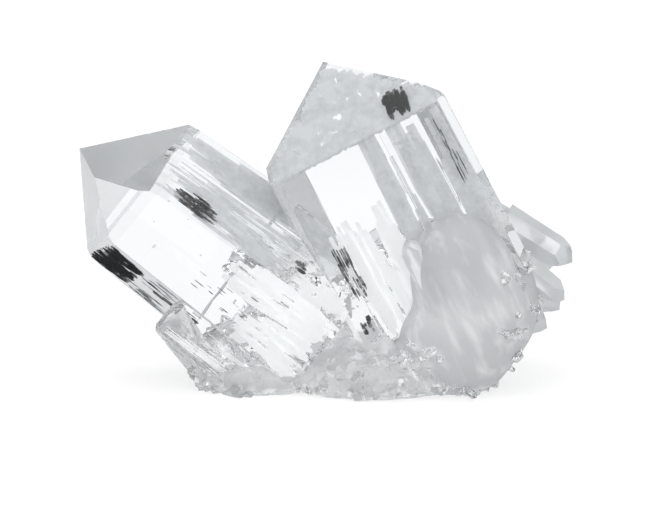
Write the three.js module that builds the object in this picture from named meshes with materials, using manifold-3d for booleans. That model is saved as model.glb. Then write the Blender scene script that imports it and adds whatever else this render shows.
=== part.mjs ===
// Quartz crystal cluster: two large points, a broken stub and many small points grown together on a rounded
// foot. It is one intergrown solid, sawn flat underneath so that it stands.
// Units are millimetres and +Z is up. The origin is at the middle of the bounding box, on the flat underside.
import * as THREE from 'three';
import { mergeVertices } from 'three/addons/utils/BufferGeometryUtils.js';
import Module from 'manifold-3d';

const wasm = await Module();
wasm.setup();

// ---------------------------------------------------------------- the mineral
const FACES = 6; // prism faces round a quartz crystal, and end faces round its tip
const END_SLOPE = 51.8; // degrees from a crystal's axis to the normal of an end face
const BLOCK = 140; // edge of the block that a crystal is cut from
const CUTTER = 300; // edge of the box that planes a face; far larger than any crystal

// ---------------------------------------------------------------- driving dimensions
// Each crystal grows from its root, inside the foot. "heading" is the compass direction that it leans to, in
// degrees (0 is +X, 90 is +Y), "lean" its angle from upright and "spin" the turn of its faces about its own
// axis. "sides" are the distances from the axis to the six prism faces, at the root. "ends" are the lengths
// along the axis, from the root, at which the six end faces would meet it. "slopes" are the end faces' own
// slopes, where they aren't the mineral's usual one. "taper" leans the prism faces in towards the tip, and
// "tail" is how far the crystal runs on below its root.
const LEFT_POINT = {
  root: [-2.9, -1.8, 10.0],
  heading: -177.6,
  lean: 52.0,
  spin: 83.0,
  taper: 2.2,
  sides: [12.5, 11.0, 14.5, 6.8, 16.7, 12.2],
  ends: [50.5, 44.6, 62.0, 51.8, 62.0, 45.8],
  slopes: [55.0, 48.8, END_SLOPE, 76.5, END_SLOPE, 47.2],
  tail: 3.0,
};
const RIGHT_POINT = {
  root: [15.6, -5.8, 12.7],
  heading: 166.2,
  lean: 28.6,
  spin: 95.8,
  taper: 0.1,
  sides: [6.6, 19.55, 15.0, 6.6, 9.46, 11.9],
  ends: [37.4, 53.6, 48.8, 52.0, 40.8, 55.0],
  tail: 2.0,
};
// The stub lies under the left point, nearly along it, and ends in blunt, broken faces.
const STUB = {
  root: [-10.0, -7.2, 0.6],
  heading: -177.6,
  lean: 50.5,
  spin: 83.0,
  taper: 1.0,
  sides: [5.2, 6.0, 5.0, 6.0, 13.0, 5.0],
  ends: [26.0, 26.0, 22.0, 14.2, 25.0, 23.4],
  slopes: [END_SLOPE, END_SLOPE, END_SLOPE, END_SLOPE, END_SLOPE, 40.0],
  tail: 2.0,
};

// Small, even points. Each is [tip x, y, z, heading, lean, spin, radius, length]. The shares make their faces
// a little unequal, as grown ones are.
const SIDE_SHARES = [1.0, 0.9, 1.05, 0.95, 1.1, 0.9];
const END_SHARES = [1.0, 1.08, 1.0, 1.1, 1.02, 1.08];
const SMALL_POINTS = [
  // on the right flank, one above the other, pointing out and down
  [32.0, -0.6, 25.2, 8, 112, 20, 1.7, 9],
  [35.4, -0.3, 22.2, 5, 120, 0, 2.3, 11],
  [39.8, -4.0, 19.8, -8, 121, 10, 2.5, 12],
  [38.2, -9.4, 14.8, -16, 127, 25, 2.0, 12],
  [37.8, -5.0, 12.2, -10, 128, 15, 3.1, 11],
  [36.0, -3.0, 8.6, -8, 116, 15, 3.4, 11],
  [37.4, 4.0, 17.6, 20, 112, 5, 2.6, 12],
  [33.5, 8.0, 13.0, 40, 100, 15, 3.0, 11],
  // on the front, beside the frosted lump and in the angle between the two large points
  [12.8, -12.8, 25.3, 166, 28, 36, 1.8, 9],
  [9.2, -14.9, 9.6, -110, 40, 0, 1.5, 6],
  [6.5, -16.0, 5.6, -95, 48, 20, 1.6, 6],
  // on the back, grown out of the foot behind the large points
  [11.0, 19.6, 22.5, 78, 42, 14, 4.2, 18],
  [-14.5, 15.5, 19.0, 138, 52, 30, 3.6, 20],
  [1.0, 18.8, 16.5, 100, 46, 10, 3.2, 16],
  [17.0, 20.0, 12.5, 70, 58, 25, 2.9, 14],
  [-6.5, 18.6, 10.5, 118, 62, 5, 2.8, 13],
  [24.5, 16.0, 18.5, 54, 44, 0, 3.0, 14],
  [-16.0, 13.0, 6.5, 150, 74, 20, 2.4, 11],
  [9.5, 20.0, 6.5, 88, 76, 15, 2.5, 11],
];

// Rounded masses. Each is [centre x, y, z, radius x, y, z, tilt about Y, bump height].
const MASSES = [
  [19.0, 2.5, 12.8, 15.2, 12.0, 13.8, 0, 0.5], // right half of the foot
  [26.3, -7.8, 14.2, 8.2, 9.6, 11.2, 0, 0.2], // frosted lump, right flank
  [-3.0, 2.5, 5.0, 19.0, 13.0, 7.5, 0, 0.5], // left half of the foot
  [6.0, 8.0, 8.0, 20.0, 11.5, 9.5, 0, 0.6], // back of the foot
  [-11.0, -6.0, 2.0, 11.0, 9.0, 4.4, 0, 0.4], // rim under the stub
  [8.0, -9.0, 2.4, 13.0, 8.5, 5.0, 0, 0.5], // rim between the points
  [22.5, -10.8, 18.4, 9.2, 7.5, 11.8, -12, 0.1], // frosted lump, upper part
  [21.0, -8.6, 8.4, 10.2, 9.0, 9.8, 0, 0.2], // frosted lump, lower part
];
const MASS_DETAIL = 9; // times that each edge of the icosahedron under a mass is divided
const BUMP_WAVES = 9; // bumps round a mass

// Druse: rows of tiny points round the foot. Each is [start angle, end angle, count, height, radius]. They
// lean out by about DRUSE_LEAN degrees from upright, more and less in turn.
const DRUSE_ROWS = [
  [-168, -20, 17, 3.2, 1.5],
  [15, 165, 12, 4.0, 1.9],
];
const FOOT_CENTRE = [1.8, 0.5];
const FOOT_REACH = [23.0, 16.0]; // half length and half depth of the foot
const DRUSE_LENGTH = 5;
const DRUSE_LEAN = 78;
const DRUSE_LEAN_SWING = 14;
const DRUSE_SPIN = 17; // degrees from one tiny point to the next

// ---------------------------------------------------------------- solids
/** A closed solid from a three.js geometry, for joining and cutting. */
function solidFrom(geometry) {
  const bare = geometry.clone();
  bare.deleteAttribute('normal');
  bare.deleteAttribute('uv');
  const merged = mergeVertices(bare, 1e-5);
  return new wasm.Manifold(
    new wasm.Mesh({
      numProp: 3,
      vertProperties: Float32Array.from(merged.attributes.position.array),
      triVerts: Uint32Array.from(merged.index.array),
    }),
  );
}

/** A three.js geometry from a finished solid. */
function geometryFrom(solid) {
  const mesh = solid.getMesh();
  const geometry = new THREE.BufferGeometry();
  const corners = mesh.vertProperties.slice(0, mesh.numVert * 3);
  geometry.setAttribute('position', new THREE.BufferAttribute(corners, 3));
  geometry.setIndex([...mesh.triVerts]);
  return geometry;
}

/** What is left of a solid behind a plane that faces along the normal, this far from the centre. */
function planeOff(solid, normal, centre, distance) {
  const cutter = new THREE.BoxGeometry(CUTTER, CUTTER, CUTTER);
  const middle = centre.clone().addScaledVector(normal, distance + CUTTER / 2);
  const turn = new THREE.Quaternion().setFromUnitVectors(new THREE.Vector3(0, 0, 1), normal);
  cutter.applyMatrix4(new THREE.Matrix4().compose(middle, turn, new THREE.Vector3(1, 1, 1)));
  return solid.subtract(solidFrom(cutter));
}

/** The turn from a crystal's own frame, with its axis along +Z, to the cluster's frame. */
function crystalTurn({ heading, lean, spin }) {
  const about = (axis, degrees) =>
    new THREE.Quaternion().setFromAxisAngle(axis, THREE.MathUtils.degToRad(degrees));
  const [y, z] = [new THREE.Vector3(0, 1, 0), new THREE.Vector3(0, 0, 1)];
  return about(z, heading).multiply(about(y, lean)).multiply(about(z, spin));
}

/** One quartz crystal: a six-sided prism closed by six sloping end faces. */
function crystal(dims) {
  const root = new THREE.Vector3(...dims.root);
  const turn = crystalTurn(dims);
  const faceNormal = (slope, azimuth) =>
    new THREE.Vector3()
      .setFromSphericalCoords(1, THREE.MathUtils.degToRad(slope), THREE.MathUtils.degToRad(azimuth + 90))
      .applyQuaternion(new THREE.Quaternion().setFromAxisAngle(new THREE.Vector3(1, 0, 0), Math.PI / 2))
      .applyQuaternion(turn);
  const block = new THREE.BoxGeometry(BLOCK, BLOCK, BLOCK);
  block.translate(...dims.root);
  let solid = solidFrom(block);
  for (let k = 0; k < FACES; k += 1) {
    const azimuth = (k * 360) / FACES;
    const slope = dims.slopes?.[k] ?? END_SLOPE;
    const endDistance = dims.ends[k] * Math.cos(THREE.MathUtils.degToRad(slope));
    solid = planeOff(solid, faceNormal(90 - dims.taper, azimuth), root, dims.sides[k]);
    solid = planeOff(solid, faceNormal(slope, azimuth), root, endDistance);
  }
  const down = new THREE.Vector3(0, 0, -1).applyQuaternion(turn);
  return planeOff(solid, down, root, dims.tail);
}

/** A small, even point given by its tip. */
function smallPoint([x, y, z, heading, lean, spin, radius, length]) {
  const axis = new THREE.Vector3(0, 0, 1).applyQuaternion(crystalTurn({ heading, lean, spin }));
  const root = new THREE.Vector3(x, y, z).addScaledVector(axis, -length);
  return crystal({
    root: root.toArray(),
    heading,
    lean,
    spin,
    taper: 1,
    sides: SIDE_SHARES.map((share) => share * radius),
    ends: END_SHARES.map((share) => share * length),
    tail: 1,
  });
}

/** A rounded, bumpy mass. */
function mass([x, y, z, radiusX, radiusY, radiusZ, tilt, bump]) {
  const geometry = new THREE.IcosahedronGeometry(1, MASS_DETAIL);
  const point = new THREE.Vector3();
  const position = geometry.attributes.position;
  for (let i = 0; i < position.count; i += 1) {
    point.fromBufferAttribute(position, i);
    const wave =
      Math.sin(BUMP_WAVES * point.x + 2 * point.y) *
      Math.sin(BUMP_WAVES * point.y - 3 * point.z) *
      Math.sin(BUMP_WAVES * point.z + point.x);
    point.multiplyScalar(1 + (bump * wave) / Math.min(radiusX, radiusY, radiusZ));
    position.setXYZ(i, point.x * radiusX, point.y * radiusY, point.z * radiusZ);
  }
  geometry.rotateY(THREE.MathUtils.degToRad(tilt));
  geometry.translate(x, y, z);
  return solidFrom(geometry);
}

/** Tiny points in a row round the rim of the foot, leaning outwards. */
function druseRow([from, to, count, height, radius]) {
  const row = [];
  for (let i = 0; i < count; i += 1) {
    const heading = from + ((to - from) * (i + 0.5)) / count;
    const angle = THREE.MathUtils.degToRad(heading);
    const reach = 1 + 0.05 * Math.sin(3.7 * i);
    const x = FOOT_CENTRE[0] + FOOT_REACH[0] * reach * Math.cos(angle);
    const y = FOOT_CENTRE[1] + FOOT_REACH[1] * reach * Math.sin(angle);
    const z = height * (1 + 0.35 * Math.sin(2.3 * i));
    const lean = DRUSE_LEAN + DRUSE_LEAN_SWING * Math.sin(1.9 * i);
    row.push(smallPoint([x, y, z, heading, lean, DRUSE_SPIN * i, radius, DRUSE_LENGTH]));
  }
  return row;
}

/** Everything joined, then sawn flat underneath. */
function buildCluster() {
  const crystals = [LEFT_POINT, RIGHT_POINT, STUB].map(crystal);
  const points = [...SMALL_POINTS.map(smallPoint), ...DRUSE_ROWS.flatMap(druseRow)];
  const joined = [...crystals, ...points, ...MASSES.map(mass)].reduce((sum, solid) => sum.add(solid));
  return planeOff(joined, new THREE.Vector3(0, 0, -1), new THREE.Vector3(), 0);
}

const clear = new THREE.MeshStandardMaterial({
  name: 'clear quartz',
  color: 0xe3e7ea,
  roughness: 0.05,
  metalness: 0,
});
const geometry = geometryFrom(buildCluster());
geometry.computeBoundingBox();
const middle = geometry.boundingBox.getCenter(new THREE.Vector3());
geometry.translate(-middle.x, -middle.y, 0);

const cluster = new THREE.Mesh(geometry, clear);
cluster.name = 'quartz_cluster';

const object = new THREE.Group();
object.add(cluster);

export default object;
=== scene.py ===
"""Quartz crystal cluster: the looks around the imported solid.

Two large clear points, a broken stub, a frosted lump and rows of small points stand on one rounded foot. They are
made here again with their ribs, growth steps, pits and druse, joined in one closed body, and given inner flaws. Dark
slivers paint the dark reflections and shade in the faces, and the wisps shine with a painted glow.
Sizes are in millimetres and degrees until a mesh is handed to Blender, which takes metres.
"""

import logging
import math
import random
from dataclasses import dataclass, field

import bmesh
import bpy
from mathutils import Matrix, Quaternion, Vector, noise

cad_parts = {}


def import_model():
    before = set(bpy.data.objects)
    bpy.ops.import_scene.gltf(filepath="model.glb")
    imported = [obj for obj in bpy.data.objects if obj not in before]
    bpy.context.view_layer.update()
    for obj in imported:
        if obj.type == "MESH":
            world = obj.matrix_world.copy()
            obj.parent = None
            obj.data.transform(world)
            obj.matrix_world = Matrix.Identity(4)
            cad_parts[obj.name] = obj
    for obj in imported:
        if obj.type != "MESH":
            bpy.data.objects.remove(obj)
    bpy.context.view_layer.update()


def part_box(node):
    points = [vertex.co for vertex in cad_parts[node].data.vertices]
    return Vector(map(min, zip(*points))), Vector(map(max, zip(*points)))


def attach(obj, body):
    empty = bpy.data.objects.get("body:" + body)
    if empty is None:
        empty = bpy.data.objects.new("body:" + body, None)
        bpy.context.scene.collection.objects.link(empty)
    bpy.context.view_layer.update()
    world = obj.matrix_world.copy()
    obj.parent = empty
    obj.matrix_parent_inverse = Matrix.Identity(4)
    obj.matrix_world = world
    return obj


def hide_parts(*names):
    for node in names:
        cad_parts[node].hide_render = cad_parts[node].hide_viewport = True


LOG = logging.getLogger("quartz")
MM = 0.001
NODE = "quartz_cluster"
BODY = "root"
FACES = 6
END_SLOPE = 51.8  # degrees from a crystal's axis to the normal of an end face
RUN_OUT = 0.8  # mm over which a rib fades at each end
RIB_GAP = 0.03  # least distance between two mesh columns of a ribbed face, in mm
SAME_WAY = 0.995  # cosine above which two normals count as the same face


# ---------------------------------------------------------------------------------------------------- helpers
def linear(hex_colour: str, alpha: float = 1.0) -> tuple[float, float, float, float]:
    """Turn an sRGB hex colour into linear light.

    Args:
        hex_colour: Six hex digits, with or without a leading #.
        alpha: The alpha to add.

    Returns:
        Red, green, blue and alpha, linear.
    """
    digits = hex_colour.lstrip("#")
    parts = (int(digits[i : i + 2], 16) / 255 for i in (0, 2, 4))
    return (*(c / 12.92 if c <= 0.04045 else ((c + 0.055) / 1.055) ** 2.4 for c in parts), alpha)


def add_node(tree: bpy.types.NodeTree, kind: str, settings: dict | None = None, **sockets: object) -> bpy.types.Node:
    """Add one shader node with its settings, and set or link its inputs.

    Args:
        tree: The node tree that gets the node.
        kind: The node's type name.
        settings: Properties of the node itself.
        sockets: Inputs by name, with _ for a space: a value, or an output socket to link.

    Returns:
        The new node.
    """
    node = tree.nodes.new(kind)
    for name, value in (settings or {}).items():
        setattr(node, name, value)
    for name, value in sockets.items():
        key = name.replace("_", " ")
        target = node.inputs[int(key[1:])] if key[0] == "n" and key[1:].isdigit() else node.inputs[key]
        if isinstance(value, bpy.types.NodeSocket):
            tree.links.new(value, target)
        else:
            target.default_value = value
    return node


def new_material(name: str) -> tuple[bpy.types.Material, bpy.types.NodeTree, bpy.types.Node]:
    """Make a material that holds only its output node.

    Args:
        name: The material's name.

    Returns:
        The material, its node tree and the output node.
    """
    material = bpy.data.materials.new(name)
    material.use_nodes = True
    tree = material.node_tree
    tree.nodes.clear()
    return material, tree, tree.nodes.new("ShaderNodeOutputMaterial")


def new_object(name: str, mesh: bpy.types.Mesh) -> bpy.types.Object:
    """Put a mesh in the scene.

    Args:
        name: The object's name.
        mesh: Its mesh.

    Returns:
        The object, linked to the scene's collection.
    """
    made = bpy.data.objects.new(name, mesh)
    bpy.context.scene.collection.objects.link(made)
    return made


def mesh_object(name: str, mesh: bmesh.types.BMesh, *finishes: bpy.types.Material) -> bpy.types.Object:
    """Turn a mesh under construction into an object.

    Args:
        name: The object's name.
        mesh: The mesh, which is used up.
        finishes: Its materials, in the order of their slots.

    Returns:
        The object, linked to the scene's collection.
    """
    data = bpy.data.meshes.new(name)
    mesh.to_mesh(data)
    mesh.free()
    for finish in finishes:
        data.materials.append(finish)
    return new_object(name, data)


def bake_modifiers(thing: bpy.types.Object) -> None:
    """Replace an object's mesh by what its modifiers make of it, and drop them.

    Args:
        thing: The object.
    """
    graph = bpy.context.evaluated_depsgraph_get()
    mesh = bpy.data.meshes.new_from_object(thing.evaluated_get(graph))
    old = thing.data
    thing.modifiers.clear()
    thing.data = mesh
    bpy.data.meshes.remove(old)


def unite(base: bpy.types.Object, other: bpy.types.Object) -> None:
    """Join another closed body into the base, and delete it.

    Args:
        base: The body that grows.
        other: The body that goes into it.
    """
    joiner = base.modifiers.new("join", "BOOLEAN")
    joiner.operation = "UNION"
    joiner.solver = "MANIFOLD"
    joiner.material_mode = "TRANSFER"
    joiner.object = other
    bake_modifiers(base)
    bpy.data.objects.remove(other)


# ---------------------------------------------------------------------------------------------------- finishes
@dataclass(frozen=True)
class ClearQuartz:
    """Clear rock crystal with grown faces: glassy, colourless, a bright hard gloss and clean refraction."""

    ior: float = 1.55
    roughness: float = 0.004

    def material(self) -> bpy.types.Material:
        """Build the material."""
        made, tree, out = new_material("clear rock crystal, grown faces")
        shader = add_node(
            tree,
            "ShaderNodeBsdfPrincipled",
            Base_Color=linear("#f3f5f6"),
            Roughness=self.roughness,
            IOR=self.ior,
            Transmission_Weight=1.0,
        )
        tree.links.new(shader.outputs[0], out.inputs["Surface"])
        return made


@dataclass(frozen=True)
class EtchedQuartz:
    """Quartz with an uneven, etched skin: finely pitted, so light comes through it soft and grey.

    Attributes:
        name: The material's name.
        tint: Its colour.
        roughness: How matt it is.
        transmission: The share of light that it lets through.
        grain: The size of its pits, in mm.
        bump: How strongly they show.
        streaked: How white the streaks of sealed fluid under the skin are, from 0 to 1.
        streak: The width and length of a streak, in mm.
        growth: How far the streaks lean from upright, in degrees.
        ior: Its index of refraction.
    """

    name: str
    tint: str
    roughness: float
    transmission: float
    grain: float
    bump: float
    streaked: float = 0.0
    streak: tuple[float, float] = (2.2, 9.0)
    growth: float = -28.0
    ior: float = 1.55

    def material(self) -> bpy.types.Material:
        """Build the material."""
        made, tree, out = new_material(self.name)
        place = add_node(tree, "ShaderNodeTexCoord")
        pits = add_node(
            tree, "ShaderNodeTexNoise", Vector=place.outputs["Object"], Scale=1 / (self.grain * MM), Detail=3.0
        )
        bump = add_node(
            tree, "ShaderNodeBump", Strength=self.bump, Distance=self.grain * MM, Height=pits.outputs[0]
        )
        skin: bpy.types.NodeSocket | tuple[float, ...] = linear(self.tint)
        if self.streaked:
            grown = add_node(
                tree,
                "ShaderNodeMapping",
                {"vector_type": "TEXTURE"},
                Vector=place.outputs["Object"],
                Rotation=(0, math.radians(self.growth), 0),
                Scale=(self.streak[0] * MM, self.streak[0] * MM, self.streak[1] * MM),
            )
            streaks = add_node(tree, "ShaderNodeTexNoise", Vector=grown.outputs[0], Scale=1.0, Detail=2.0)
            white = add_node(
                tree,
                "ShaderNodeMapRange",
                Value=streaks.outputs[0],
                From_Min=0.5,
                From_Max=0.75,
                To_Max=self.streaked,
            )
            skin = add_node(
                tree,
                "ShaderNodeMix",
                {"data_type": "RGBA"},
                n0=white.outputs[0],
                n6=skin,
                n7=linear("#ffffff"),
            ).outputs[2]
        shader = add_node(
            tree,
            "ShaderNodeBsdfPrincipled",
            Base_Color=skin,
            Roughness=self.roughness,
            IOR=self.ior,
            Transmission_Weight=self.transmission,
            Normal=bump.outputs[0],
        )
        tree.links.new(shader.outputs[0], out.inputs["Surface"])
        return made


@dataclass(frozen=True)
class Milk:
    """Healed cracks full of tiny fluid bubbles: thin, matt, pale sheets that thin out in patches.

    Where they glow, the glow is painted light: an emission of their own, not light that reaches them.

    Attributes:
        name: The material's name.
        tint: Its colour.
        scatter: The strength of the painted glow, an emission of the sheets' own.
        patch: The size of the patches, in mm.
        least: How much of the light the thinnest patch stops, from 0 to 1.
    """

    name: str
    tint: str
    scatter: float = 0.0
    patch: float = 5.0
    least: float = 0.9

    def material(self) -> bpy.types.Material:
        """Build the material."""
        made, tree, out = new_material(self.name)
        place = add_node(tree, "ShaderNodeTexCoord")
        cloud = add_node(
            tree, "ShaderNodeTexNoise", Vector=place.outputs["Object"], Scale=1 / (self.patch * MM), Detail=5.0
        )
        cover = add_node(
            tree,
            "ShaderNodeMapRange",
            Value=cloud.outputs[0],
            From_Min=0.35,
            From_Max=0.6,
            To_Min=self.least,
            To_Max=1.0,
        )
        shader = add_node(
            tree,
            "ShaderNodeBsdfPrincipled",
            Base_Color=linear(self.tint),
            Roughness=0.9,
            # painted glow: the sheets shine by their own emission
            Emission_Color=linear("#ffffff"),
            Emission_Strength=self.scatter,
            Alpha=cover.outputs[0],
        )
        tree.links.new(shader.outputs[0], out.inputs["Surface"])
        return made


@dataclass(frozen=True)
class PaintedDarkReflections:
    """Nearly black, a little glossy slivers that paint the dark reflections and shade seen in the faces."""

    tint: str = "#2c2d2e"
    roughness: float = 0.35

    def material(self) -> bpy.types.Material:
        """Build the material."""
        made, tree, out = new_material("painted dark reflections and shade")
        place = add_node(tree, "ShaderNodeTexCoord")
        cloud = add_node(
            tree, "ShaderNodeTexNoise", Vector=place.outputs["Object"], Scale=1 / (1.2 * MM), Detail=4.0
        )
        cover = add_node(
            tree,
            "ShaderNodeMapRange",
            Value=cloud.outputs[0],
            From_Min=0.3,
            From_Max=0.55,
            To_Min=0.35,
            To_Max=0.95,
        )
        # painted dark reflections and shade: a near-black colour, patched by noise
        shader = add_node(
            tree,
            "ShaderNodeBsdfPrincipled",
            Base_Color=linear(self.tint),
            Roughness=self.roughness,
            Specular_IOR_Level=0.0,
            Alpha=cover.outputs[0],
        )
        tree.links.new(shader.outputs[0], out.inputs["Surface"])
        return made


FROSTED = EtchedQuartz("frosted quartz, etched matt", "#bdbfc1", 0.55, 0.55, 0.5, 0.15, 0.45)
UNEVEN = EtchedQuartz("uneven quartz, lightly etched", "#f5f6f6", 0.22, 0.94, 1.4, 0.08)
VEIL = Milk("milky veil of fluid bubbles", "#fbfcfc")
# white milky wisps given a painted glow, emission 0.2
WISPS = Milk("white wisps of fluid bubbles, painted glow", "#fbfcfc", 0.2)
# grey wisps given a painted glow, emission 0.08; packed under the right end face they are a painted shade
HAZE = Milk("grey wisps of fluid bubbles and painted shade, painted glow", "#e4e6e8", 0.08, 3.0, 0.6)
ETCHED = EtchedQuartz("quartz faces, finely etched", "#eceeef", 0.3, 0.8, 0.6, 0.05)


# ---------------------------------------------------------------------------------------------------- crystals
@dataclass(frozen=True)
class RibBand:
    """A band of ribs that run along a prism face.

    Attributes:
        face: The prism face.
        across: Where the band lies across the face, as shares of its width.
        along: Where it starts and ends along the axis, in mm from the root.
        count: The number of ribs.
        half: Their least and greatest half width, in mm.
        depth: Their least and greatest depth, in mm.
        run: The least and greatest length of a rib, as shares of the band's.
    """

    face: int
    across: tuple[float, float]
    along: tuple[float, float]
    count: int
    half: tuple[float, float] = (0.12, 0.4)
    depth: tuple[float, float] = (0.02, 0.08)
    run: tuple[float, float] = (0.3, 1.0)


@dataclass(frozen=True)
class Rib:
    """One V-shaped rib of a band, sunk into its face. All its sizes are in mm."""

    place: float
    half: float
    depth: float
    low: float
    high: float

    def depth_at(self, across: float, height: float) -> float:
        """Find how far the rib sinks a point of the face. The rib runs out over its last RUN_OUT mm.

        Args:
            across: The point's place across the face, in mm.
            height: Its height from the root, in mm.

        Returns:
            The depth, in mm.
        """
        away = abs(across - self.place) / self.half
        if away >= 1 or not self.low < height < self.high:
            return 0.0
        return self.depth * (1 - away) * min(1.0, (height - self.low) / RUN_OUT, (self.high - height) / RUN_OUT)


@dataclass(frozen=True)
class Flaws:
    """A cloud of small cracks sealed in a crystal: thin crumpled gaps that flash where they mirror.

    Attributes:
        centre: Its middle, in the crystal's own frame.
        reach: How far it spreads along each of the frame's axes.
        count: The number of cracks.
        size: The least and greatest radius of a crack, in mm.
        facing: The direction that the cracks mostly face, in the crystal's own frame.
        scatter: How far they turn from it, from 0 to 1.
        stretch: How much longer they are along the crystal's axis.
    """

    centre: tuple[float, float, float]
    reach: tuple[float, float, float]
    count: int
    size: tuple[float, float]
    facing: tuple[float, float, float] = (0.5, 0.6, 0.6)
    scatter: float = 0.7
    stretch: float = 1.0


@dataclass
class Crystal:
    """One quartz crystal: a six-sided prism closed by six sloping end faces.

    Attributes:
        root: Where it grows from, in mm.
        heading: The compass direction that it leans to, in degrees.
        lean: Its angle from upright.
        spin: The turn of its faces about its own axis.
        sides: The distances from the axis to the prism faces, at the root.
        ends: The lengths along the axis at which the end faces meet it.
        tail: How far it runs on below its root.
        taper: The angle by which the prism faces lean in.
        slopes: The angles from the axis to the end faces' normals.
        bands: The bands of ribs on its faces.
        flaws: Its clouds of cracks.
        veils: Its milky sheets.
        films: Its dark slivers, which paint dark reflections and shade.
        wisps: Its white wisps, with a painted glow.
        haze: Its grey wisps, with a painted glow; those packed under an end face paint its shade.
        seed: The seed of its random numbers.
        etched_sides: The prism faces that are etched.
        etched_ends: The end faces that are etched.
        bevel: How far the long edges are cut back.
        step: The distance between rings of the ribbed mesh.
    """

    root: tuple[float, float, float]
    heading: float
    lean: float
    spin: float
    sides: tuple[float, ...]
    ends: tuple[float, ...]
    tail: float
    taper: float = 1.0
    slopes: tuple[float, ...] = (END_SLOPE,) * FACES
    bands: tuple[RibBand, ...] = ()
    flaws: tuple[Flaws, ...] = ()
    veils: tuple["Veil", ...] = ()
    films: tuple["Film", ...] = ()
    wisps: tuple["Film", ...] = ()
    haze: tuple["Film", ...] = ()
    seed: int = 1
    etched_sides: tuple[int, ...] = ()
    etched_ends: tuple[int, ...] = ()
    bevel: float = 0.05
    step: float = 1.0

    def turn(self) -> Quaternion:
        """Return the turn from the crystal's own frame, axis along +Z, to the cluster's."""
        up, across = Vector((0, 0, 1)), Vector((0, 1, 0))
        return (
            Quaternion(up, math.radians(self.heading))
            @ Quaternion(across, math.radians(self.lean))
            @ Quaternion(up, math.radians(self.spin))
        )

    def place(self) -> Matrix:
        """Return the move from the crystal's own frame to the cluster's, from mm to metres."""
        return Matrix.Scale(MM, 4) @ Matrix.Translation(Vector(self.root)) @ self.turn().to_matrix().to_4x4()

    @staticmethod
    def side_normal(face: int) -> Vector:
        """Return the flat direction that a prism face looks in, in the crystal's own frame."""
        azimuth = 2 * math.pi * face / FACES
        return Vector((math.cos(azimuth), math.sin(azimuth), 0))

    def end_normal(self, face: int) -> Vector:
        """Return the direction that an end face looks in, in the crystal's own frame."""
        slope = math.radians(self.slopes[face])
        return self.side_normal(face) * math.sin(slope) + Vector((0, 0, math.cos(slope)))

    def corner(self, face: int, height: float) -> Vector:
        """Find the prism's corner between a face and the one before it.

        Args:
            face: The later of the two faces.
            height: The height along the axis, from the root.

        Returns:
            The corner, in the crystal's own frame.
        """
        lean_in = math.radians(self.taper)
        first, second = (face - 1) % FACES, face % FACES
        a, b = self.side_normal(first), self.side_normal(second)
        near, far = ((self.sides[k] - height * math.sin(lean_in)) / math.cos(lean_in) for k in (first, second))
        spread = a.x * b.y - a.y * b.x
        return Vector(((near * b.y - far * a.y) / spread, (far * a.x - near * b.x) / spread, height))

    def ribs(self, face: int, width: float, rng: random.Random) -> list[Rib]:
        """Choose the ribs of one face from its bands.

        Args:
            face: The prism face.
            width: Its width at the root, in mm.
            rng: The crystal's own random numbers.

        Returns:
            The ribs.
        """
        made = []
        for band in self.bands:
            if band.face != face:
                continue
            low, high = band.along
            for _ in range(band.count):
                length = (high - low) * rng.uniform(*band.run)
                start = rng.uniform(low, high - length)
                made.append(
                    Rib(
                        width * rng.uniform(*band.across),
                        rng.uniform(*band.half),
                        rng.uniform(*band.depth),
                        start,
                        start + length,
                    )
                )
        return made

    @staticmethod
    def spread_out(values: list[float], gap: float) -> list[float]:
        """Sort values and drop those that are too near the last one kept.

        Args:
            values: The values.
            gap: The least distance between two.

        Returns:
            The values kept.
        """
        kept: list[float] = []
        for value in sorted(values):
            if not kept or value - kept[-1] > gap:
                kept.append(value)
        return kept

    def below_tip(self, point: Vector) -> bool:
        """Tell whether a point is below all the end faces."""
        normals = [self.end_normal(face) for face in range(FACES)]
        return all(normal.dot(point) < normal.z * end for normal, end in zip(normals, self.ends))

    def line(self, face: int, height: float, on_end: bool) -> tuple[Vector, Vector]:
        """Find a level line across a prism face, or across the end face over it.

        Args:
            face: The face.
            height: The line's height from the root, or from the end face's lower edge up the end face.
            on_end: Whether it is on the end face.

        Returns:
            The line's two ends, in the crystal's own frame.
        """
        if not on_end:
            return self.corner(face, height), self.corner(face + 1, height)
        normal = self.end_normal(face)
        edge = []
        for corner in (face, face + 1):
            foot = self.corner(corner, 0)
            along = self.corner(corner, 1) - foot
            edge.append(foot + along * ((normal.z * self.ends[face] - normal.dot(foot)) / normal.dot(along)))
        upward = normal.cross(edge[1] - edge[0]).normalized() * height
        return edge[0] + upward, edge[1] + upward

    def prism(self, rng: random.Random) -> bmesh.types.BMesh:
        """Make the ribbed prism, open ended in shape but closed as a mesh, taller than the crystal.

        Args:
            rng: The crystal's own random numbers.

        Returns:
            The prism, in the crystal's own frame.
        """
        top, bottom = max(self.ends) * 1.15, -self.tail
        rings = max(1, round((top - bottom) / self.step)) if self.bands else 1
        columns = []
        for face in range(FACES):
            width = (self.corner(face + 1, 0) - self.corner(face, 0)).length
            ribs = self.ribs(face, width, rng)
            marks = [x for rib in ribs for x in (rib.place - rib.half, rib.place, rib.place + rib.half)]
            marks = self.spread_out([x for x in marks if RIB_GAP < x < width - RIB_GAP], RIB_GAP)
            columns.append((face, width, [0.0, *marks], ribs))
        mesh = bmesh.new()
        previous: list[bmesh.types.BMVert] = []
        for ring in range(rings + 1):
            height = bottom + (top - bottom) * ring / rings
            row = []
            for face, width, marks, ribs in columns:
                low, high = self.corner(face, height), self.corner(face + 1, height)
                inward = -self.side_normal(face)
                for mark in marks:
                    sink = sum(rib.depth_at(mark, height) for rib in ribs) if mark else 0.0
                    row.append(mesh.verts.new(low.lerp(high, mark / width) + inward * sink))
            if previous:
                for i in range(len(row)):
                    j = (i + 1) % len(row)
                    mesh.faces.new((previous[i], previous[j], row[j], row[i]))
            else:
                mesh.faces.new(reversed(row))
            previous = row
        mesh.faces.new(previous)
        return mesh

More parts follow.
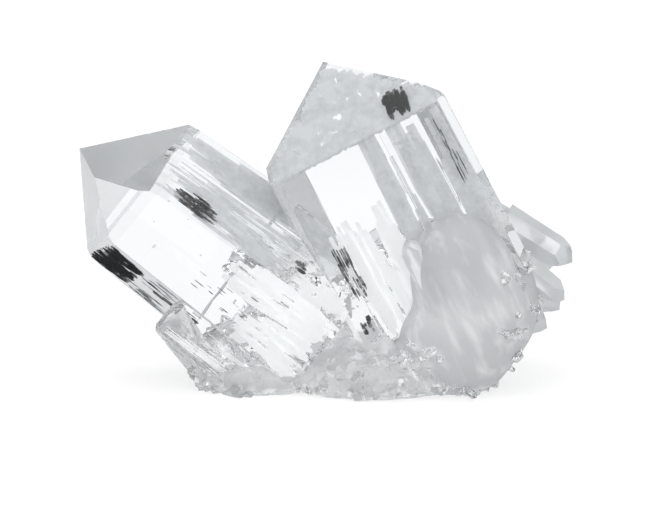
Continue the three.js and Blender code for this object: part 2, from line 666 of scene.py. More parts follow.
    def build(self, name: str, clear: bpy.types.Material, etched: bpy.types.Material) -> bpy.types.Object:
        """Make the crystal as a closed mesh in the cluster's frame.

        Args:
            name: The object's name.
            clear: What most of it is made of.
            etched: The finish of its etched faces.

        Returns:
            The crystal.
        """
        mesh = self.prism(random.Random(self.seed))
        for face in range(FACES):
            self.plane_off(mesh, self.end_normal(face), Vector((0, 0, self.ends[face])))
        if self.bevel:
            self.bevel_edges(mesh)
        bmesh.ops.dissolve_limit(
            mesh, angle_limit=math.radians(0.1), verts=list(mesh.verts), edges=list(mesh.edges)
        )
        bmesh.ops.triangulate(mesh, faces=[f for f in mesh.faces if len(f.verts) > 3])
        mesh.normal_update()
        dull = [self.side_normal(face) for face in self.etched_sides]
        dull += [self.end_normal(face) for face in self.etched_ends]
        for face in mesh.faces:
            face.material_index = int(any(face.normal.dot(normal) > SAME_WAY for normal in dull))
        mesh.transform(self.place())
        return mesh_object(name, mesh, clear, etched)

    def bevel_edges(self, mesh: bmesh.types.BMesh) -> None:
        """Take the sharpness off the long edges, and off those round the end faces."""
        for face in range(FACES):
            foot, far = self.corner(face, 0), self.corner(face, 40)
            along = (far - foot).normalized()
            outward = self.side_normal(face) + self.side_normal(face - 1)
            outward = (outward - along * outward.dot(along)).normalized()
            self.plane_off(mesh, outward, foot - outward * self.bevel)
            slope = math.radians(self.slopes[face])
            radius = self.sides[face] - self.ends[face] * math.sin(math.radians(self.taper))
            shoulder = self.side_normal(face) * radius
            shoulder.z = self.ends[face] - radius * math.tan(slope)
            outward = (self.end_normal(face) + self.side_normal(face)).normalized()
            self.plane_off(mesh, outward, shoulder - outward * self.bevel)

    @staticmethod
    def plane_off(mesh: bmesh.types.BMesh, normal: Vector, point: Vector) -> None:
        """Cut away what lies in front of a plane, and close the cut.

        Args:
            mesh: The mesh to cut.
            normal: The plane's normal, pointing at what goes.
            point: A point on the plane.
        """
        geometry = list(mesh.verts) + list(mesh.edges) + list(mesh.faces)
        cut = bmesh.ops.bisect_plane(
            mesh, geom=geometry, dist=1e-5, plane_co=point, plane_no=normal, clear_outer=True
        )
        rim = [e for e in cut["geom_cut"] if isinstance(e, bmesh.types.BMEdge) and len(e.link_faces) == 1]
        if rim:
            bmesh.ops.contextual_create(mesh, geom=rim)

    def crack(self, mesh: bmesh.types.BMesh, middle: Vector, turn: Quaternion, size: float, stretch: float) -> None:
        """Add one sealed crack: a crumpled gap, widest in the middle, whose faces look inwards.

        Args:
            mesh: The mesh that gets it, in the crystal's own frame.
            middle: The crack's middle.
            turn: The turn from lying flat to the crack's own attitude.
            size: Its radius, in mm.
            stretch: How much longer it is one way than the other.
        """
        spokes, rings, offset = 14, 4, middle * 7.3
        caps = []
        for side in (1, -1):
            gap = 0.03 + 0.03 * size
            cap = [[mesh.verts.new(middle + turn @ Vector((0, 0, side * gap)))]]
            for ring in range(1, rings + 1):
                row = []
                for spoke in range(spokes):
                    angle = 2 * math.pi * spoke / spokes
                    ragged = 1 + 0.45 * noise.noise(offset + Vector((math.cos(angle), math.sin(angle), 0)) * 1.7)
                    share = ring / rings
                    flat = Vector((math.cos(angle) * stretch, math.sin(angle), 0)) * (share * ragged * size)
                    crumple = 0.22 * size * noise.noise(offset + flat * (1.6 / size))
                    thick = side * gap * (1 - share**2)
                    flat.z = crumple + thick
                    row.append(mesh.verts.new(middle + turn @ flat) if ring < rings or side == 1 else None)
                cap.append(row)
            caps.append(cap)
        caps[1][rings] = caps[0][rings]
        for side, cap in zip((1, -1), caps):
            for ring in range(rings):
                for spoke in range(spokes):
                    after = (spoke + 1) % spokes
                    outer = [cap[ring + 1][spoke], cap[ring + 1][after]]
                    inner = [cap[0][0]] if ring == 0 else [cap[ring][after], cap[ring][spoke]]
                    corners = outer + inner
                    mesh.faces.new(corners if side == -1 else corners[::-1])

    def cracks(self) -> bmesh.types.BMesh:
        """Make all the crystal's cracks, in the cluster's frame."""
        rng = random.Random(self.seed + 1000)
        mesh = bmesh.new()
        for cloud in self.flaws:
            for _ in range(cloud.count):
                middle = Vector(c + r * rng.uniform(-1, 1) for c, r in zip(cloud.centre, cloud.reach))
                facing = Vector(cloud.facing).normalized()
                facing += Vector(rng.gauss(0, cloud.scatter) for _ in range(3))
                turn = facing.to_track_quat("Z", "X")
                self.crack(mesh, middle, turn, rng.uniform(*cloud.size), cloud.stretch)
        mesh.transform(self.place())
        return mesh


@dataclass(frozen=True)
class Veil:
    """A milky sheet of tiny fluid bubbles, healed into a crystal across its axis.

    Attributes:
        height: Where it crosses the axis, in mm from the root.
        margin: How far it stops short of the prism faces.
        tilt: Its slope along the frame's x and y.
        wave: How far it waves, in mm.
    """

    height: float
    margin: float = 0.5
    tilt: tuple[float, float] = (0.0, 0.0)
    wave: float = 0.7

    def build(self, name: str, crystal: Crystal, material: bpy.types.Material) -> bpy.types.Object:
        """Make the sheet.

        Args:
            name: The object's name.
            crystal: The crystal that it lies in.
            material: What it is made of.

        Returns:
            The sheet, in the cluster's frame.
        """
        mesh = bmesh.new()
        rim = []
        for face in range(FACES):
            first, last = crystal.corner(face, self.height), crystal.corner(face + 1, self.height)
            rim += [first.lerp(last, step / 6) for step in range(6)]
        rows = [[mesh.verts.new(self.lifted(Vector((0, 0, self.height))))]]
        for ring in range(1, 9):
            row = []
            for point in rim:
                flat = Vector((point.x, point.y, 0))
                reach = max(0.0, 1 - self.margin / flat.length) * ring / 8
                row.append(mesh.verts.new(self.lifted(flat * reach + Vector((0, 0, self.height)))))
            rows.append(row)
        for inner, outer in zip(rows, rows[1:]):
            for i in range(len(outer)):
                j = (i + 1) % len(outer)
                corners = [outer[i], outer[j]] + ([inner[0]] if len(inner) == 1 else [inner[j], inner[i]])
                mesh.faces.new(corners).smooth = True
        mesh.transform(crystal.place())
        return mesh_object(name, mesh, material)

    def lifted(self, point: Vector) -> Vector:
        """Tilt and wave a point of the sheet."""
        ripple = self.wave * noise.noise(point * 0.22 + Vector((self.height, 0, 0)))
        return point + Vector((0, 0, ripple + point.x * self.tilt[0] + point.y * self.tilt[1]))


@dataclass(frozen=True)
class Film:
    """Staggered slivers just under or on a face that run along the crystal: milky and grey wisps, and dark slivers
    that paint dark reflections and shade.

    Attributes:
        face: The prism face.
        across: Where they lie across the face, as shares of its width.
        along: Where they lie along the axis, in mm from the root.
        count: How many slivers there are.
        under: How deep they lie under the face, in mm. Less than 0 puts them on the outside of it.
        width: Their least and greatest width, in mm.
        run: Their least and greatest length, in mm.
        on_end: Whether they lie under the end face over the prism face.
    """

    face: int
    across: tuple[float, float]
    along: tuple[float, float]
    count: int
    under: float = 0.5
    width: tuple[float, float] = (0.15, 0.5)
    run: tuple[float, float] = (0.8, 3.0)
    on_end: bool = False

    def add(self, mesh: bmesh.types.BMesh, crystal: Crystal, rng: random.Random) -> None:
        """Add the slivers to a mesh in the crystal's own frame.

        Args:
            mesh: The mesh.
            crystal: The crystal that they lie in.
            rng: The random numbers.
        """
        inward = -(crystal.end_normal(self.face) if self.on_end else crystal.side_normal(self.face))
        for _ in range(self.count):
            share = rng.uniform(*self.across)
            length = rng.uniform(*self.run)
            low = rng.uniform(self.along[0], self.along[1] - min(length, self.along[1] - self.along[0]))
            width = rng.uniform(*self.width)
            depth = self.under * rng.uniform(0.7, 1.3)
            corners = []
            for height, half in ((low, 0.3), (low + 0.3 * length, 1.0), (low + length, 0.7)):
                first, last = crystal.line(self.face, height, self.on_end)
                middle = first.lerp(last, share) + inward * depth
                side = (last - first).normalized() * (width * half / 2)
                corners.append((middle - side, middle + side))
            if all(crystal.below_tip(point) for pair in corners for point in pair):
                rows = [[mesh.verts.new(point) for point in pair] for pair in corners]
                for (a, b), (c, d) in zip(rows, rows[1:]):
                    mesh.faces.new((a, b, d, c))


def small_point(
    tip: tuple[float, float, float],
    heading: float,
    lean: float,
    spin: float,
    radius: float,
    length: float,
) -> Crystal:
    """Describe a small, even point by its tip.

    Args:
        tip: Where the tip is.
        heading: The compass direction that it leans to.
        lean: Its angle from upright.
        spin: The turn of its faces about its axis.
        radius: Its size across, halved.
        length: From root to tip.

    Returns:
        The crystal.
    """
    blank = Crystal((0, 0, 0), heading, lean, spin, (1,) * FACES, (1,) * FACES, 1)
    root = Vector(tip) - blank.turn() @ Vector((0, 0, length))
    return Crystal(
        root=tuple(root),
        heading=heading,
        lean=lean,
        spin=spin,
        sides=tuple(share * radius for share in (1.0, 0.9, 1.05, 0.95, 1.1, 0.9)),
        ends=tuple(share * length for share in (1.0, 1.08, 1.0, 1.1, 1.02, 1.08)),
        tail=1.0,
        bevel=0.0,
    )


# ---------------------------------------------------------------------------------------------------- the foot
@dataclass
class Foot:
    """The rounded mass that everything grows from: overlapping lumps melted into one bumpy body.

    Attributes:
        masses: Ellipsoids: middle, three radii and tilt about Y, in mm and degrees.
        lump: The ellipsoids of the frosted lump at the front.
        voxel: The mesh size that they are melted at, in mm.
        melt: How many times they are smoothed.
        bump: The height of the bumps, in mm.
        back: Where the back begins, in mm along +Y.
        calm: The share of the bumps that is left there.
        lump_edge: How far out, in radii of its ellipsoids, the lump's finish reaches.
    """

    masses: tuple[tuple[float, ...], ...] = (
        (19.0, 2.5, 12.8, 15.0, 11.8, 13.6, 0),
        (-3.0, 2.5, 5.0, 18.8, 12.8, 7.3, 0),
        (6.0, 8.0, 8.0, 19.8, 11.3, 9.3, 0),
        (-11.0, -6.0, 2.0, 10.8, 8.8, 4.2, 0),
        (8.0, -9.0, 2.4, 12.8, 8.3, 4.8, 0),
    )
    lump: tuple[tuple[float, ...], ...] = (
        (22.5, -10.8, 18.4, 9.2, 7.5, 11.8, -12),
        (21.0, -8.6, 8.4, 10.2, 9.0, 9.8, 0),
        (26.3, -7.8, 14.2, 8.1, 9.5, 11.1, 0),
    )
    voxel: float = 0.55
    melt: int = 40
    bump: float = 0.45
    back: float = 2.0
    calm: float = 0.35
    lump_edge: float = 1.06

    @staticmethod
    def placed(mass: tuple[float, ...]) -> Matrix:
        """Return the matrix that makes a unit ball into a mass."""
        x, y, z, radius_x, radius_y, radius_z, tilt = mass
        return (
            Matrix.Translation((x, y, z))
            @ Matrix.Rotation(math.radians(tilt), 4, "Y")
            @ Matrix.Diagonal((radius_x, radius_y, radius_z, 1))
        )

    def build(self, uneven: bpy.types.Material, frosted: bpy.types.Material) -> bpy.types.Object:
        """Make the foot as one closed mesh.

        Args:
            uneven: What most of it is made of.
            frosted: What the lump at the front is made of.

        Returns:
            The foot.
        """
        mesh = bmesh.new()
        for mass in self.masses + self.lump:
            bmesh.ops.create_icosphere(mesh, subdivisions=4, radius=1, matrix=self.placed(mass))
        foot = mesh_object("foot", mesh)
        remesh = foot.modifiers.new("melt", "REMESH")
        remesh.mode = "VOXEL"
        remesh.voxel_size = self.voxel
        smooth = foot.modifiers.new("soften", "SMOOTH")
        smooth.iterations = self.melt
        smooth.factor = 0.7
        bake_modifiers(foot)
        foot.data.materials.clear()
        foot.data.materials.append(uneven)
        foot.data.materials.append(frosted)
        inverse = [self.placed(mass).inverted() for mass in self.lump]
        mesh = bmesh.new()
        mesh.from_mesh(foot.data)
        for vertex in mesh.verts:
            inside = min((m @ vertex.co).length for m in inverse)
            rough = min(1.0, max(0.08, (inside - 1.02) * 6)) * (self.calm if vertex.co.y > self.back else 1.0)
            lift = noise.fractal(vertex.co * 0.33, 0.7, 2.1, 4) * self.bump * rough
            vertex.co += vertex.normal * lift
        for face in mesh.faces:
            inside = min((m @ face.calc_center_median()).length for m in inverse)
            face.material_index = 1 if inside < self.lump_edge else 0
            face.smooth = True
        mesh.transform(Matrix.Scale(MM, 4))
        mesh.to_mesh(foot.data)
        mesh.free()
        return foot


@dataclass(frozen=True)
class Druse:
    """A patch of tiny points on the foot.

    Attributes:
        low: The lowest corner of the box that they stand in.
        high: Its highest corner.
        count: How many there are.
        radius: Their least and greatest size across, halved.
        length: Their least and greatest length.
        stand: How far the tips stand out of the foot.
    """

    low: tuple[float, float, float]
    high: tuple[float, float, float]
    count: int
    radius: tuple[float, float]
    length: tuple[float, float]
    stand: tuple[float, float] = (0.4, 1.2)

    def grow(self, foot: bpy.types.Object, rng: random.Random) -> list[Crystal]:
        """Choose the points.

        Args:
            foot: The foot that they grow on.
            rng: The random numbers.

        Returns:
            The points.
        """
        spots = [
            (p.center / MM, p.normal.copy())
            for p in foot.data.polygons
            if all(a < c < b for a, c, b in zip(self.low, p.center / MM, self.high))
        ]
        made = []
        for _ in range(self.count):
            spot, normal = rng.choice(spots)
            axis = (normal + Vector(rng.gauss(0, 0.45) for _ in range(3))).normalized()
            tip = spot + axis * rng.uniform(*self.stand)
            heading = math.degrees(math.atan2(axis.y, axis.x))
            lean = math.degrees(math.acos(axis.z))
            made.append(
                small_point(
                    tuple(tip), heading, lean, rng.uniform(0, 60), rng.uniform(*self.radius), rng.uniform(*self.length)
                )
            )
        return made


# ---------------------------------------------------------------------------------------------------- the cluster
@dataclass
class Cluster:
    """The whole intergrown body: large points, stub, small points, druse and foot, sawn flat underneath."""

    left: Crystal = field(
        default_factory=lambda: Crystal(
            root=(-2.9, -1.8, 10.0),
            heading=-177.6,
            lean=52.0,
            spin=83.0,
            taper=2.2,
            sides=(12.5, 11.0, 14.5, 6.8, 16.7, 12.2),
            ends=(50.5, 44.6, 62.0, 51.8, 62.0, 45.8),
            slopes=(55.0, 48.8, END_SLOPE, 76.5, END_SLOPE, 47.2),
            tail=3.0,
            bands=(
                RibBand(1, (0.06, 0.4), (4, 34), 40, (0.06, 0.22), (0.02, 0.08), (0.2, 0.8)),
                RibBand(1, (0.4, 0.76), (0, 34), 38, (0.06, 0.3), (0.015, 0.06), (0.25, 0.9)),
                RibBand(0, (0.02, 0.4), (-3, 14), 8, (0.1, 0.3), (0.01, 0.03), (0.3, 0.8)),
            ),
            flaws=(
                Flaws((5.0, 3.0, 14.0), (4.0, 3.5, 3.0), 5, (1.2, 3.2), (0.3, 0.8, 0.5), 0.4, 1.5),
                Flaws((6.0, 0.0, 3.0), (4.0, 6.0, 6.0), 7, (0.6, 2.6), (0.5, 0.5, 0.7), 0.8, 1.2),
                Flaws((2.0, 0.0, 20.0), (6.0, 5.0, 12.0), 7, (0.15, 0.5)),
            ),
            veils=(Veil(14.5, 0.6, (0.094, 0.018), 0.5),),
            # dark slivers: painted dark reflections and shade; those on face 5 lie on the outside of the face and
            # paint its dark strip
            films=(
                Film(1, (0.10, 0.30), (22.5, 31.0), 46, 0.3, (0.2, 0.5), (1.5, 4.5)),
                Film(1, (0.28, 0.38), (5.5, 8.5), 12, 0.6, (0.3, 0.7), (0.6, 1.6)),
                Film(5, (0.08, 0.92), (26.0, 37.0), 200, -0.04, (0.6, 2.0), (1.5, 4.5)),
                Film(5, (0.08, 0.92), (18.0, 26.5), 30, -0.04, (0.3, 0.7), (1.5, 5.0)),
                Film(5, (0.1, 0.9), (14.5, 18.5), 46, -0.04, (0.5, 1.2), (0.8, 2.5)),
                Film(0, (0.2, 0.62), (9.0, 21.0), 12, 1.2, (0.06, 0.2), (0.8, 2.4)),
            ),
            wisps=(
                Film(0, (0.04, 0.96), (-2.5, 6.0), 54, 1.5, (0.5, 1.8), (2.0, 7.0)),
                Film(0, (0.5, 0.97), (-1.0, 17.0), 44, 1.5, (0.3, 1.3), (3.0, 9.0)),
                Film(0, (0.08, 0.5), (1.0, 11.0), 22, 1.5, (0.3, 1.2), (2.0, 6.0)),
                Film(1, (0.3, 0.6), (10.0, 22.0), 16, 0.5, (0.1, 0.5), (3.0, 8.0)),
            ),
            haze=(
                Film(1, (0.08, 0.7), (8.0, 35.0), 60, 0.8, (0.3, 1.2), (5.0, 16.0)),
                Film(1, (0.7, 0.98), (-2.0, 36.0), 40, 1.2, (0.8, 2.4), (12.0, 26.0)),
            ),
            etched_sides=(5,),
            etched_ends=(3,),
            seed=11,
        )
    )
    right: Crystal = field(
        default_factory=lambda: Crystal(
            root=(15.6, -5.8, 12.7),
            heading=166.2,
            lean=28.6,
            spin=95.8,
            taper=0.1,
            sides=(6.6, 19.55, 15.0, 6.6, 9.46, 11.9),
            ends=(37.4, 53.6, 48.8, 52.0, 40.8, 55.0),
            tail=2.0,
            bands=(
                RibBand(0, (0.5, 0.64), (-2, 29), 22, (0.06, 0.3), (0.015, 0.09), (0.3, 1.0)),
                RibBand(0, (0.69, 0.71), (14, 29), 2, (0.06, 0.12), (0.03, 0.05), (0.5, 0.9)),
                RibBand(0, (0.73, 0.86), (12, 23), 10, (0.1, 0.35), (0.02, 0.08), (0.3, 0.9)),
                RibBand(0, (0.06, 0.5), (-2, 13), 18, (0.08, 0.4), (0.01, 0.06), (0.3, 1.0)),
            ),
            flaws=(
                Flaws((0.0, -1.0, 9.0), (5.0, 6.0, 3.0), 8, (0.6, 2.2), (0.5, 0.3, 0.8), 0.6, 1.2),
                Flaws((0.0, 4.0, 3.0), (5.0, 8.0, 4.0), 5, (0.5, 2.0), (0.5, 0.5, 0.7), 0.9, 1.2),
            ),
            # dark slivers: painted dark reflections and shade
            films=(
                Film(0, (0.08, 0.16), (5.5, 16.0), 26, 0.4, (0.15, 0.5), (1.0, 4.0)),
                Film(0, (0.04, 0.10), (0.5, 3.5), 14, 0.5, (0.3, 0.8), (0.5, 1.2)),
                Film(0, (0.92, 0.97), (15.0, 27.0), 12, 0.3, (0.08, 0.25), (1.5, 4.5)),
                Film(0, (0.72, 0.84), (0.2, 5.8), 40, 0.25, (0.5, 1.1), (1.2, 3.5), True),
            ),
            wisps=(
                Film(0, (0.1, 0.46), (-2.0, 19.0), 60, 1.5, (0.6, 2.0), (4.0, 11.0)),
                Film(0, (0.46, 0.6), (-2.0, 10.0), 20, 1.5, (0.6, 2.0), (3.0, 8.0)),
            ),
            haze=(
                Film(0, (0.5, 0.97), (-2.0, 34.0), 60, 1.0, (0.8, 2.2), (10.0, 26.0)),
                # grey wisps packed under the end face: a painted shade that greys the end face
                Film(0, (0.0, 1.0), (0.0, 26.0), 1500, 0.7, (0.8, 1.6), (1.0, 3.0), True),
                Film(0, (0.0, 1.0), (-0.3, 2.4), 500, 0.7, (0.8, 1.6), (1.2, 2.6), True),
            ),
            etched_sides=(2, 4),
            etched_ends=(4,),
            seed=23,
        )
    )
    stub: Crystal = field(
        default_factory=lambda: Crystal(
            root=(-10.0, -7.2, 0.6),
            heading=-177.6,
            lean=50.5,
            spin=83.0,
            taper=1.0,
            sides=(5.2, 6.0, 5.0, 6.0, 13.0, 5.0),
            ends=(26.0, 26.0, 22.0, 14.2, 25.0, 23.4),
            slopes=(END_SLOPE, END_SLOPE, END_SLOPE, END_SLOPE, END_SLOPE, 40.0),
            tail=2.0,
            bands=(
                RibBand(0, (0.0, 0.4), (3, 18), 9, (0.1, 0.35), (0.03, 0.1), (0.3, 0.9)),
                RibBand(0, (0.45, 0.65), (6, 15), 6, (0.06, 0.15), (0.02, 0.05), (0.1, 0.4)),
                RibBand(5, (0.1, 0.9), (3, 18), 14, (0.1, 0.4), (0.03, 0.12), (0.3, 0.9)),
            ),
            wisps=(
                Film(0, (0.1, 0.34), (5.0, 19.0), 9, 0.3, (0.15, 0.5), (4.0, 11.0)),
                Film(0, (0.4, 0.8), (2.0, 14.0), 10, 0.3, (0.1, 0.35), (1.5, 5.0)),
            ),
            seed=37,
        )
    )
    small: tuple[tuple[float, ...], ...] = (
        (32.0, -0.6, 25.2, 8, 112, 20, 1.7, 9),
        (35.4, -0.3, 22.2, 5, 120, 0, 2.3, 11),
        (39.8, -4.0, 19.8, -8, 121, 10, 2.5, 12),
        (38.2, -9.4, 14.8, -16, 127, 25, 2.0, 12),
        (37.8, -5.0, 12.2, -10, 128, 15, 3.1, 11),
        (36.0, -3.0, 8.6, -8, 116, 15, 3.4, 11),
        (37.4, 4.0, 17.6, 20, 112, 5, 2.6, 12),
        (33.5, 8.0, 13.0, 40, 100, 15, 3.0, 11),
        (12.8, -12.8, 25.3, 166, 28, 36, 1.8, 9),
        (9.2, -14.9, 9.6, -110, 40, 0, 1.5, 6),
        (6.5, -16.0, 5.6, -95, 48, 20, 1.6, 6),
        (11.0, 19.6, 22.5, 78, 42, 14, 4.2, 18),
        (-14.5, 15.5, 19.0, 138, 52, 30, 3.6, 20),
        (1.0, 18.8, 16.5, 100, 46, 10, 3.2, 16),
        (17.0, 20.0, 12.5, 70, 58, 25, 2.9, 14),
        (-6.5, 18.6, 10.5, 118, 62, 5, 2.8, 13),
        (24.5, 16.0, 18.5, 54, 44, 0, 3.0, 14),
        (-16.0, 13.0, 6.5, 150, 74, 20, 2.4, 11),
        (9.5, 20.0, 6.5, 88, 76, 15, 2.5, 11),
    )
    druse: tuple[Druse, ...] = (
        Druse((0, -30, 0.3), (22, -5, 8), 46, (0.5, 1.3), (2, 4)),
        Druse((-22, -30, 0.2), (0, 0, 2.5), 26, (0.5, 1.3), (2, 4)),
        Druse((28, -20, 0.2), (40, 5, 25), 46, (0.5, 1.4), (2, 4)),
        Druse((14, -30, 0.2), (30, -5, 2.2), 14, (0.5, 1.2), (2, 4)),
        Druse((-25, 0, 0.2), (30, 30, 14), 60, (0.6, 1.8), (2, 5)),
    )

    shift: Vector = field(default_factory=Vector)

    def build(self) -> bpy.types.Object:
        """Make and join everything, saw it flat, and put it where the solid is.

        Returns:
            The cluster.
        """
        clear, etched = ClearQuartz().material(), ETCHED.material()
        body = Foot().build(UNEVEN.material(), FROSTED.material())
        LOG.info("foot: %d faces", len(body.data.polygons))
        rng = random.Random(7)
        tiny = [point for patch in self.druse for point in patch.grow(body, rng)]
        large = [self.left, self.right, self.stub]
        small = [small_point(row[:3], *row[3:]) for row in self.small]
        made = [crystal.build(f"crystal_{index}", clear, etched) for index, crystal in enumerate(large + tiny)]
        made += [crystal.build(f"small_{index}", etched, etched) for index, crystal in enumerate(small)]
        while len(made) > 1:
            for first, second in zip(made[::2], made[1::2]):
                unite(first, second)
            made = made[::2]
        unite(body, made[0])
        LOG.info("joined: %d faces", len(body.data.polygons))
        self.saw_flat(body)
        self.seal_flaws(body, clear)
        self.shift = self.centre(body)
        body.name = "quartz_cluster_body"
        return body

    def seal_flaws(self, body: bpy.types.Object, clear: bpy.types.Material) -> None:
        """Seal the large crystals' cracks in the body, as gaps in the stone.

        Args:
            body: The joined body.
            clear: What the walls of the cracks are made of.
        """
        index = body.data.materials.find(clear.name)
        mesh = bmesh.new()
        mesh.from_mesh(body.data)
        for crystal in (self.left, self.right):
            holder = bpy.data.meshes.new("cracks")
            cracks = crystal.cracks()
            for face in cracks.faces:
                face.material_index = index
            cracks.to_mesh(holder)
            cracks.free()
            mesh.from_mesh(holder)
            bpy.data.meshes.remove(holder)
        mesh.to_mesh(body.data)
        mesh.free()

    def sealed(self) -> list[bpy.types.Object]:
        """Make the veils and wisps in the large crystals and the stub, and the dark slivers that paint dark
        reflections and shade in and on them.

        Returns:
            The pieces.
        """
        # painted dark reflections and shade, and wisps with a painted glow
        dark = PaintedDarkReflections().material()
        milky, white, grey = VEIL.material(), WISPS.material(), HAZE.material()
        made = []
        for name, crystal in (("left", self.left), ("right", self.right), ("stub", self.stub)):
            for index, veil in enumerate(crystal.veils):
                made.append(veil.build(f"{name}_veil_{index}", crystal, milky))
            rng = random.Random(crystal.seed + 2000)
            for kind, films, finish in (
                ("painted_dark_reflections", crystal.films, dark),
                ("white_wisps_painted_glow", crystal.wisps, white),
                ("grey_wisps_and_painted_shade", crystal.haze, grey),
            ):
                if films:
                    made.append(self.slivers(f"{name}_{kind}", crystal, films, finish, rng))
        for piece in made:
            piece.data.transform(Matrix.Translation(self.shift))
        return made

    @staticmethod
    def slivers(
        name: str, crystal: Crystal, films: tuple[Film, ...], finish: bpy.types.Material, rng: random.Random
    ) -> bpy.types.Object:
        """Make some of a crystal's films as one piece.

        Args:
            name: The piece's name.
            crystal: The crystal that they lie in.
            films: The films.
            finish: What they are made of.
            rng: The random numbers.

        Returns:
            The piece, in the cluster's frame.
        """
        mesh = bmesh.new()
        for film in films:
            film.add(mesh, crystal, rng)
        mesh.transform(crystal.place())
        return mesh_object(name, mesh, finish)

    @staticmethod
    def saw_flat(body: bpy.types.Object) -> None:
        """Cut the underside off flat at the level of the shelf.

        Args:
            body: The joined body.
        """
        mesh = bmesh.new()
        mesh.from_mesh(body.data)
        Crystal.plane_off(mesh, Vector((0, 0, -1)), Vector((0, 0, 0)))
        bmesh.ops.triangulate(mesh, faces=[f for f in mesh.faces if len(f.verts) > 4])
        mesh.to_mesh(body.data)
        mesh.free()

    @staticmethod
    def centre(body: bpy.types.Object) -> Vector:
        """Move the body so that its middle is over the solid's, on the shelf.

        Args:
            body: The joined body.

        Returns:
            The move, in metres.
        """
        low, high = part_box(NODE)
        points = [vertex.co for vertex in body.data.vertices]
        middle = [(min(p[i] for p in points) + max(p[i] for p in points)) / 2 for i in range(2)]
        shift = Vector(((low.x + high.x) / 2 - middle[0], (low.y + high.y) / 2 - middle[1], 0))
        body.data.transform(Matrix.Translation(shift))
        LOG.info("centred by %s mm", [round(c / MM, 2) for c in shift])
        return shift


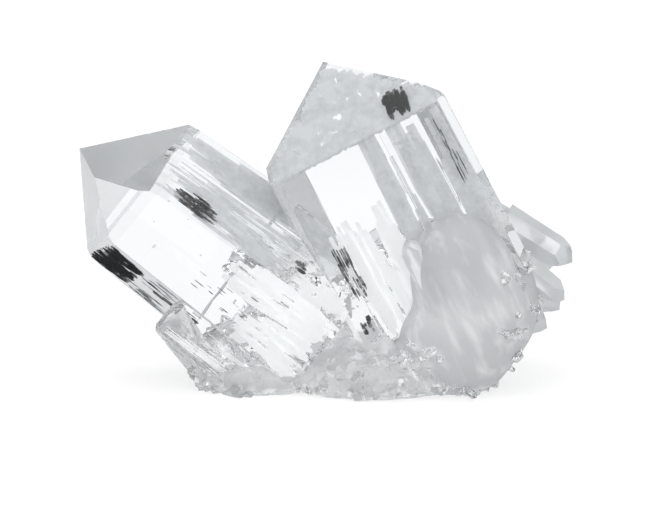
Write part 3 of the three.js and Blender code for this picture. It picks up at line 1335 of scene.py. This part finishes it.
# ---------------------------------------------------------------------------------------------------- the studio
@dataclass
class Studio:
    """A pale floor that glows like a light table, soft light and the camera. Lengths are in mm.

    Attributes:
        distance: How far the camera stands off.
        elevation: Its height above level, in degrees.
        aim: What it looks at.
        view_width: The width that it takes in there.
        overhead: The brightness of the light tent overhead.
        tent: The direction in which the tent is brightest.
        glow: The brightness of the floor near the cluster.
        lit: The middle and the reach, along X and Y, of the floor's lit part.
        dim: The share of the glow that is left beyond it.
    """

    distance: float = 450.0
    elevation: float = 12.0
    aim: tuple[float, float, float] = (-0.22, -0.88, 20.4)
    view_width: float = 105.7
    overhead: float = 1.8
    glow: float = 0.68
    tent: tuple[float, float, float] = (0, -0.6, 0.8)
    lit: tuple[float, float, float, float] = (0, 270, 300, 1000)
    dim: float = 0.05

    def build(self) -> None:
        """Make the floor, the lights and the camera."""
        scene = bpy.context.scene
        scene.view_settings.view_transform = "Standard"
        floor_mesh = bmesh.new()
        bmesh.ops.create_circle(floor_mesh, cap_ends=True, segments=96, radius=4.0)
        data = bpy.data.meshes.new("floor")
        floor_mesh.to_mesh(data)
        floor_mesh.free()
        floor = new_object("floor", data)
        floor.location.z = -0.00002
        material, tree, out = new_material("white acrylic light table")
        place = add_node(tree, "ShaderNodeTexCoord")
        x, y, reach_x, reach_y = self.lit
        spot = add_node(
            tree,
            "ShaderNodeVectorMath",
            {"operation": "MULTIPLY_ADD"},
            n0=place.outputs["Object"],
            n1=(1 / (reach_x * MM), 1 / (reach_y * MM), 0),
            n2=(-x / reach_x, -y / reach_y, 0),
        )
        away = add_node(tree, "ShaderNodeVectorMath", {"operation": "LENGTH"}, n0=spot.outputs[0])
        glow = add_node(
            tree,
            "ShaderNodeMapRange",
            {"interpolation_type": "SMOOTHSTEP"},
            Value=away.outputs["Value"],
            From_Min=0.5,
            From_Max=1.0,
            To_Min=self.glow,
            To_Max=self.glow * self.dim,
        )
        shader = add_node(
            tree,
            "ShaderNodeBsdfPrincipled",
            Base_Color=linear("#909091"),
            Roughness=0.9,
            Emission_Color=linear("#ffffff"),
            Emission_Strength=glow.outputs[0],
        )
        tree.links.new(shader.outputs[0], out.inputs["Surface"])
        data.materials.append(material)
        world = bpy.data.worlds.new("studio")
        scene.world = world
        world.use_nodes = True
        world.node_tree.nodes.clear()
        out = world.node_tree.nodes.new("ShaderNodeOutputWorld")
        place = add_node(world.node_tree, "ShaderNodeTexCoord")
        facing = add_node(
            world.node_tree,
            "ShaderNodeVectorMath",
            {"operation": "DOT_PRODUCT"},
            n0=place.outputs["Generated"],
            n1=self.tent,
        )
        rise = add_node(
            world.node_tree, "ShaderNodeMapRange", Value=facing.outputs["Value"], From_Min=0.1, From_Max=1.0
        )
        tent = add_node(
            world.node_tree,
            "ShaderNodeMix",
            {"data_type": "RGBA"},
            n0=rise.outputs[0],
            n6=linear("#cccdcf"),
            n7=[self.overhead * share for share in linear("#ffffff")],
        ).outputs[2]
        glow = add_node(world.node_tree, "ShaderNodeBackground", Color=tent, Strength=1.0)
        world.node_tree.links.new(glow.outputs[0], out.inputs["Surface"])
        self.softbox("top_light", (-0.25, -0.2, 1.1), (0, 0, 0), 0.7, 0.7, 2.0)
        self.camera()

    @staticmethod
    def softbox(
        name: str,
        place: tuple[float, float, float],
        aim: tuple[float, float, float],
        width: float,
        height: float,
        watts: float,
    ) -> None:
        """Add a soft rectangular light.

        Args:
            name: Its name.
            place: Where it stands, in metres.
            aim: What it faces.
            width: Its width in metres.
            height: Its height in metres.
            watts: Its power.
        """
        lamp = bpy.data.lights.new(name, "AREA")
        lamp.shape = "RECTANGLE"
        lamp.size, lamp.size_y, lamp.energy = width, height, watts
        holder = bpy.data.objects.new(name, lamp)
        holder.location = place
        holder.rotation_mode = "QUATERNION"
        holder.rotation_quaternion = (Vector(aim) - Vector(place)).to_track_quat("-Z", "Y")
        holder.visible_camera = False
        bpy.context.scene.collection.objects.link(holder)

    def camera(self) -> None:
        """Add the camera."""
        lens = bpy.data.cameras.new("camera")
        lens.sensor_width = 36.0
        lens.lens = lens.sensor_width * self.distance / self.view_width
        lens.clip_start, lens.clip_end = 0.01, 20.0
        camera = bpy.data.objects.new("camera", lens)
        tilt = math.radians(self.elevation)
        back = Vector((0, -math.cos(tilt), math.sin(tilt)))
        camera.location = (Vector(self.aim) + back * self.distance) * MM
        camera.rotation_mode = "QUATERNION"
        camera.rotation_quaternion = (-back).to_track_quat("-Z", "Y")
        bpy.context.scene.collection.objects.link(camera)
        bpy.context.scene.camera = camera


def main() -> None:
    """Build the cluster and the studio round it."""
    logging.basicConfig(level=logging.INFO, format="%(name)s: %(message)s")
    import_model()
    Studio().build()
    cluster = Cluster()
    body = cluster.build()
    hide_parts(NODE)
    for piece in [body, *cluster.sealed()]:
        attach(piece, BODY)
        LOG.info("piece %s: %d faces", piece.name, len(piece.data.polygons))


if __name__ == "__main__":
    main()
